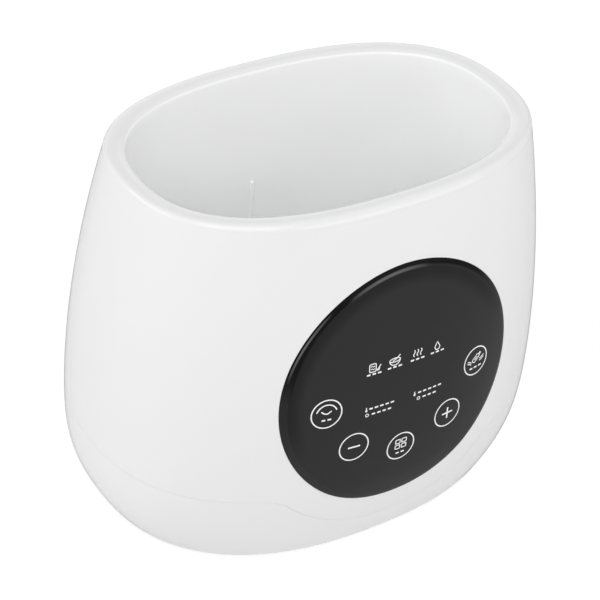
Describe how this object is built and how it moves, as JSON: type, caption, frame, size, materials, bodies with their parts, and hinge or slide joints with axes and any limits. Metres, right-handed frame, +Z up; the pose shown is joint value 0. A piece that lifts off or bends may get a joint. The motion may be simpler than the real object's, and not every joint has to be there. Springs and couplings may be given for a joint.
{
  "type": "double baby-bottle warmer base",
  "caption": "Oval table-top warmer base: rounded white tub with a deep oval heated water tank for bottles side by side and a round glossy black touch panel in front.",
  "frame": {"origin": "on the floor, under the middle of the oval body", "axes": "+Z up out of the tank's mouth; the touch panel faces -Y; the body's long side runs along X"},
  "size_m": [0.188, 0.1405, 0.1494],
  "materials": {
    "white_gloss": "smooth gloss",
    "lens_black": "mirror gloss, dark",
    "foam_black": "matte foam",
    "rubber_grey": "matte",
    "contact_rubber": "matte",
    "silicone": "satin",
    "plate_aluminium": "satin",
    "can_aluminium": "satin",
    "steel": "satin",
    "brass": "bright",
    "board_green": "satin",
    "black_plastic": "satin",
    "cream_plastic": "satin",
    "smoked_plastic": "gloss",
    "light_plastic": "satin",
    "relay_blue": "satin",
    "lead_brown": "satin",
    "lead_blue": "satin",
    "lead_white": "satin"
  },
  "bodies": {
    "root": {"outer_housing": "white_gloss", "bottom_cover": "white_gloss", "inner_tank": "white_gloss", "panel_lens": "lens_black", "lens_gasket": "foam_black", "foot_1": "rubber_grey", "foot_2": "rubber_grey", "foot_3": "rubber_grey", "foot_4": "rubber_grey", "touch_contact_preset": "contact_rubber", "touch_contact_minus": "contact_rubber", "touch_contact_menu": "contact_rubber", "touch_contact_plus": "contact_rubber", "touch_contact_warm": "contact_rubber", "tank_gasket": "silicone", "heating_plate": "plate_aluminium", "capacitor": "can_aluminium", "plate_clamp": "steel", "heating_element": "steel", "clamp_screw_1": "steel", "clamp_screw_2": "steel", "clamp_screw_3": "steel", "clamp_screw_4": "steel", "base_screw_1": "steel", "base_screw_2": "steel", "base_screw_3": "steel", "base_screw_4": "steel", "control_screw_1": "steel", "control_screw_2": "steel", "control_screw_3": "steel", "control_screw_4": "steel", "power_screw_1": "steel", "power_screw_2": "steel", "temperature_sensor": "brass", "inlet_pin_1": "brass", "inlet_pin_2": "brass", "control_board": "board_green", "power_board": "board_green", "thermostat": "black_plastic", "buzzer": "black_plastic", "transformer": "black_plastic", "power_inlet": "black_plastic", "thermal_fuse": "cream_plastic", "control_socket": "cream_plastic", "mains_fuse": "cream_plastic", "mains_terminal": "cream_plastic", "heater_terminal": "cream_plastic", "sensor_socket": "cream_plastic", "power_socket": "cream_plastic", "display_left": "smoked_plastic", "display_right": "smoked_plastic", "light_guide": "light_plastic", "relay": "relay_blue", "inlet_lead_1": "lead_brown", "heater_lead_1": "lead_brown", "inlet_lead_2": "lead_blue", "heater_lead_2": "lead_blue", "sensor_lead": "lead_white", "ribbon_cable": "lead_white"}
  },
  "joints": []
}
